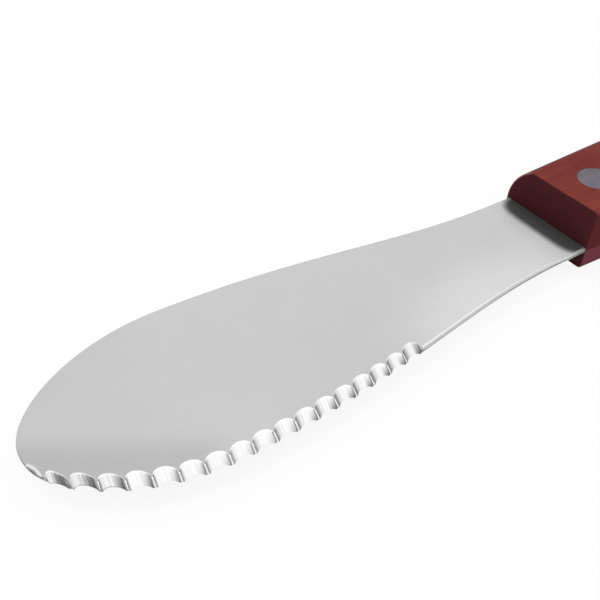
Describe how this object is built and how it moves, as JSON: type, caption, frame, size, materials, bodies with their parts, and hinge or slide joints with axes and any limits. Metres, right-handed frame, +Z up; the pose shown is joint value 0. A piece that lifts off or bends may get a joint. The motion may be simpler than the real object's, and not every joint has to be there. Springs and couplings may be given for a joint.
{
  "type": "butter knife",
  "caption": "Butter spreader knife: flat round-ended steel blade with a scalloped edge, tang held between two red-brown wooden scales by flush two-part rivets.",
  "frame": {"origin": "middle of the knife's length and width, on the surface that the handle's underside lies on", "axes": "+X from the blade tip towards the butt of the handle, +Z up through the blade's thickness, scalloped edge on the -Y side"},
  "size_m": [0.207, 0.031, 0.012],
  "materials": {
    "blade_steel": "satin stainless sheet, scallops ground bright",
    "handle_wood": "red-brown stained, smooth and slightly glossy",
    "rivet_metal": "dull grey, ground flush"
  },
  "bodies": {
    "root": {"blade": "blade_steel", "upper_scale": "handle_wood", "lower_scale": "handle_wood", "front_rivet_sleeve": "rivet_metal", "front_rivet_post": "rivet_metal", "middle_rivet_sleeve": "rivet_metal", "middle_rivet_post": "rivet_metal", "rear_rivet_sleeve": "rivet_metal", "rear_rivet_post": "rivet_metal"}
  },
  "joints": []
}
